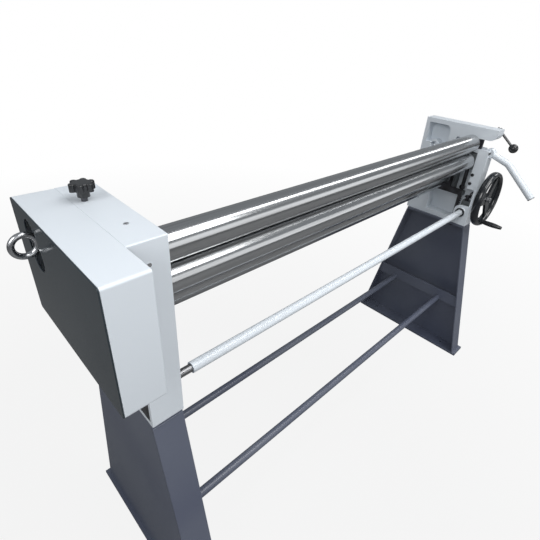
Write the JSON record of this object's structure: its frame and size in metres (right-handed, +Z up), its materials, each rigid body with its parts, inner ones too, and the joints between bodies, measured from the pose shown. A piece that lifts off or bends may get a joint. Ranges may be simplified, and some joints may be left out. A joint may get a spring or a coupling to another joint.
{
  "type": "slip roll machine",
  "caption": "Hand-operated slip roll for bending sheet metal: long steel rolls between two housings on sheet-metal stands, with a handwheel that lifts the rear roll.",
  "frame": {"origin": "on the floor, under the middle of the geared end's foot plate", "axes": "+X along the rolls from the geared end to the handwheel end, -Y towards the operator, +Z up"},
  "size_m": [1.885, 0.6785, 1.196],
  "materials": {
    "white_enamel": "gloss",
    "slate_enamel": "semi-gloss",
    "panel_enamel": "gloss",
    "ground_steel": "ground",
    "dark_steel": "oiled",
    "grey_iron": "machined",
    "bronze": "satin",
    "black_plastic": "gloss",
    "black_enamel": "gloss",
    "bright_zinc": "bright"
  },
  "bodies": {
    "frame": {"left_stand_web": "slate_enamel", "left_cross_strip": "slate_enamel", "left_stand_front_flange": "slate_enamel", "left_stand_rear_flange": "slate_enamel", "left_foot_plate": "slate_enamel", "left_top_plate": "slate_enamel", "right_stand_web": "slate_enamel", "right_cross_strip": "slate_enamel", "right_stand_front_flange": "slate_enamel", "right_stand_rear_flange": "slate_enamel", "right_foot_plate": "slate_enamel", "right_top_plate": "slate_enamel", "front_tie_bar": "slate_enamel", "rear_tie_bar": "slate_enamel", "tie_bar_nuts": "bright_zinc", "left_housing": "white_enamel", "left_side_plate": "dark_steel", "gear_cover": "white_enamel", "gear_cover_panel": "panel_enamel", "housing_screws": "bright_zinc", "right_housing": "white_enamel", "link_bearing_plate": "white_enamel", "housing_bolts": "bright_zinc", "guide_bars": "grey_iron", "guide_bolts": "dark_steel", "upright_shaft_bearing": "grey_iron", "shaft_bushes": "black_plastic", "pinch_screw_blocks": "grey_iron", "bent_lever_pin": "dark_steel"},
    "top_roll_swing": {"top_roll_swivel_bearing": "dark_steel", "top_roll_end_block": "dark_steel"},
    "upper_roll": {"top_roll": "ground_steel", "top_roll_gear": "dark_steel"},
    "pinch_blocks": {"left_front_roll_block": "grey_iron", "right_front_roll_block": "grey_iron", "front_roll_bushes": "bronze"},
    "lower_roll": {"front_roll": "ground_steel", "front_roll_gear": "dark_steel"},
    "left_gap_screw": {"left_pinch_screw": "dark_steel"},
    "right_gap_screw": {"right_pinch_screw": "dark_steel"},
    "rear_lift": {"left_rear_roll_carrier": "dark_steel", "right_rear_roll_carrier": "dark_steel", "rear_roll_bushes": "bronze"},
    "bending_roll": {"rear_roll": "ground_steel"},
    "link": {"link_shaft": "dark_steel", "link_tube": "white_enamel", "link_gears": "dark_steel"},
    "upright": {"upright_link_shaft": "dark_steel"},
    "wheel": {"handwheel": "black_enamel", "handwheel_nut": "bright_zinc", "handwheel_shaft": "dark_steel"},
    "grip": {"crank_grip": "black_plastic"},
    "locking_knob": {"star_knob": "black_plastic", "star_knob_screw": "dark_steel"},
    "pull_pin": {"pull_rod": "dark_steel", "eye_ring": "bright_zinc"},
    "clamp": {"clamp_lever": "black_enamel", "ball_knob": "black_plastic"},
    "release_lever": {"bent_lever": "white_enamel", "bent_lever_cap": "black_plastic"}
  },
  "joints": [
    {"name": "upper_roll_swing_out", "type": "hinge", "parent": "frame", "child": "top_roll_swing", "pos_m": [-0.0325, -0.074, 1.09], "axis": [0, 0, -1], "range_deg": [0, 4.7]},
    {"name": "upper_roll_turn", "type": "hinge", "parent": "top_roll_swing", "child": "upper_roll", "pos_m": [0, -0.074, 1.09], "axis": [1, 0, 0], "continuous": true},
    {"name": "gap_setting", "type": "slide", "parent": "frame", "child": "pinch_blocks", "axis": [0, 0, 1], "range_m": [-0.003, 0.003]},
    {"name": "lower_roll_turn", "type": "hinge", "parent": "pinch_blocks", "child": "lower_roll", "pos_m": [0, -0.074, 1.0115], "axis": [1, 0, 0], "continuous": true},
    {"name": "left_gap_screw_turn", "type": "hinge", "parent": "pinch_blocks", "child": "left_gap_screw", "pos_m": [-0.006, -0.074, 0.9], "axis": [0, 0, 1], "range_deg": [-545, 545]},
    {"name": "right_gap_screw_turn", "type": "hinge", "parent": "pinch_blocks", "child": "right_gap_screw", "pos_m": [1.604, -0.074, 0.9], "axis": [0, 0, 1], "range_deg": [-545, 545]},
    {"name": "rear_roll_lift", "type": "slide", "parent": "frame", "child": "rear_lift", "axis": [0, 0, 1], "range_m": [0, 0.064]},
    {"name": "rear_roll_turn", "type": "hinge", "parent": "rear_lift", "child": "bending_roll", "pos_m": [0, 0.008, 0.915], "axis": [1, 0, 0], "continuous": true},
    {"name": "link_shaft_turn", "type": "hinge", "parent": "frame", "child": "link", "pos_m": [0.8, -0.113, 0.775], "axis": [1, 0, 0], "range_deg": [0, 165]},
    {"name": "upright_shaft_turn", "type": "hinge", "parent": "frame", "child": "upright", "pos_m": [1.6, -0.113, 0.818], "axis": [0, 0, 1], "range_deg": [0, 165]},
    {"name": "handwheel_turn", "type": "hinge", "parent": "frame", "child": "wheel", "pos_m": [1.6, -0.196, 0.858], "axis": [0, -1, 0], "range_deg": [0, 165]},
    {"name": "grip_turn", "type": "hinge", "parent": "wheel", "child": "grip", "pos_m": [1.59094, -0.25, 0.7544], "axis": [0, -1, 0], "continuous": true},
    {"name": "star_knob_turn", "type": "hinge", "parent": "frame", "child": "locking_knob", "pos_m": [-0.015, 0.061, 1.18], "axis": [0, 0, 1], "range_deg": [0, 360]},
    {"name": "ring_pull", "type": "slide", "parent": "frame", "child": "pull_pin", "axis": [-1, 0, 0], "range_m": [0, 0.025]},
    {"name": "clamp_lever_turn", "type": "hinge", "parent": "frame", "child": "clamp", "pos_m": [1.647, -0.143, 1.149], "axis": [-1, 0, 0], "range_deg": [0, 100]},
    {"name": "bent_lever_lift", "type": "hinge", "parent": "frame", "child": "release_lever", "pos_m": [1.61, -0.146, 1.056], "axis": [-1, 0, 0], "range_deg": [0, 60]}
  ],
  "couplings": [
    {"joint": "lower_roll_turn", "follows": "upper_roll_turn", "ratio": -1},
    {"joint": "left_gap_screw_turn", "follows": "gap_setting", "rad_per_m": 3141.6},
    {"joint": "right_gap_screw_turn", "follows": "gap_setting", "rad_per_m": 3141.6},
    {"joint": "link_shaft_turn", "follows": "rear_roll_lift", "rad_per_m": 44.643},
    {"joint": "upright_shaft_turn", "follows": "rear_roll_lift", "rad_per_m": 44.643},
    {"joint": "handwheel_turn", "follows": "rear_roll_lift", "rad_per_m": 44.643}
  ]
}
